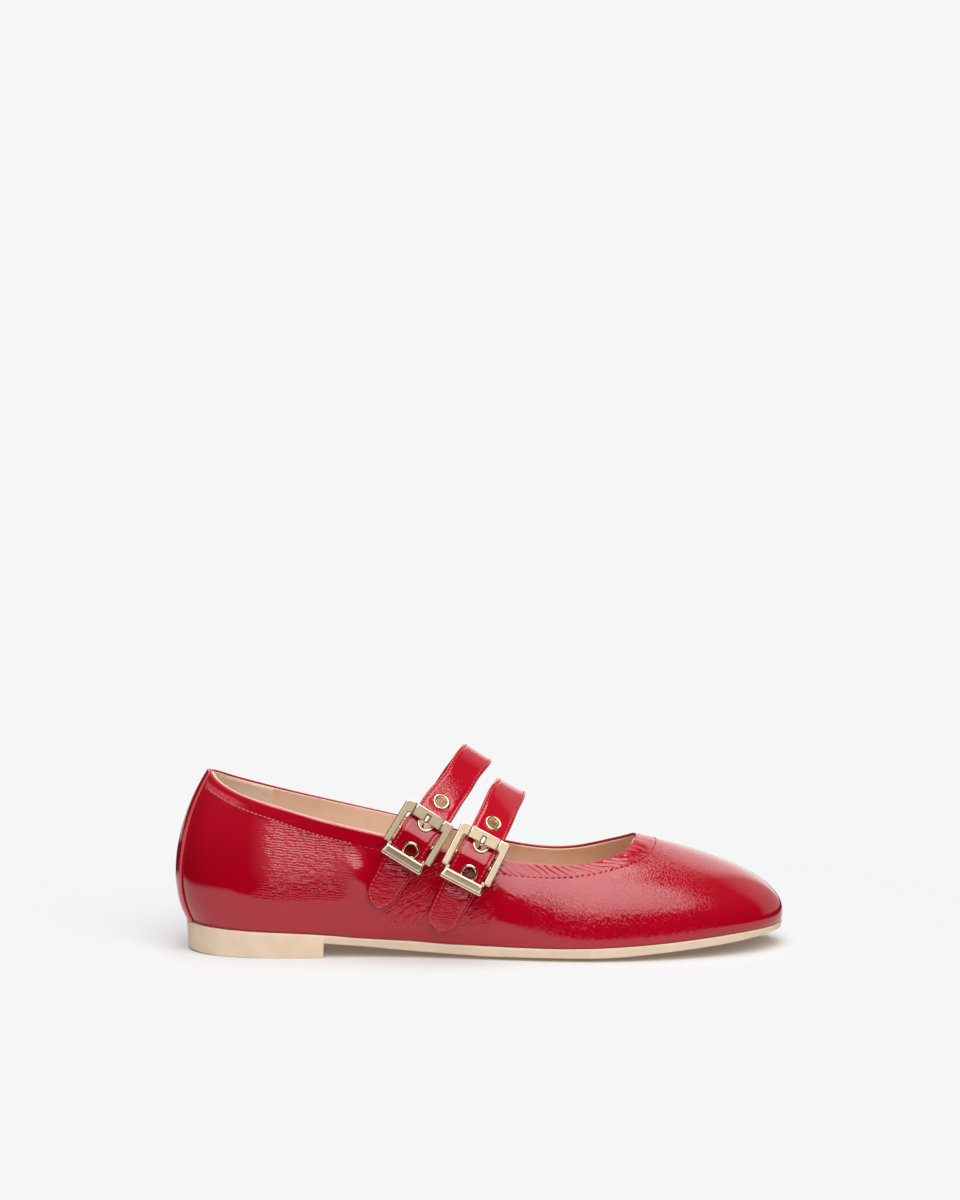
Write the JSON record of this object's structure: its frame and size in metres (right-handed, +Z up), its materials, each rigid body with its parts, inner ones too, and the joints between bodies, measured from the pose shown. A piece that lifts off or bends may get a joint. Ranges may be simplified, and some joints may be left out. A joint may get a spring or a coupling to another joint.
{
  "type": "ballet flat",
  "caption": "Right-foot ballet flat with a hollow leather upper, a low moulded sole with a small heel, and straps with square buckles over the instep.",
  "frame": {"origin": "middle of the footprint, on the floor", "axes": "+X from the heel to the toe, +Y to the medial side (the buckles are on the -Y side), +Z up"},
  "size_m": [0.2492, 0.0802, 0.0837],
  "materials": {
    "sole": "matt cream",
    "upper": "crinkled red patent",
    "insole": "matt beige",
    "back_strip": "red patent",
    "strap": "crinkled red patent",
    "eyelet": "polished pale gold",
    "buckle": "polished pale gold"
  },
  "bodies": {
    "root": {"outsole": "sole", "upper": "upper", "insole": "insole", "back_strip": "back_strip", "strap_rear": "strap", "strap_front": "strap", "eyelet_rear_1": "eyelet", "eyelet_rear_2": "eyelet", "eyelet_rear_3": "eyelet", "eyelet_front_1": "eyelet", "eyelet_front_2": "eyelet", "eyelet_front_3": "eyelet", "buckle_rear": "buckle", "buckle_front": "buckle", "prong_rear": "buckle", "prong_front": "buckle"}
  },
  "joints": []
}
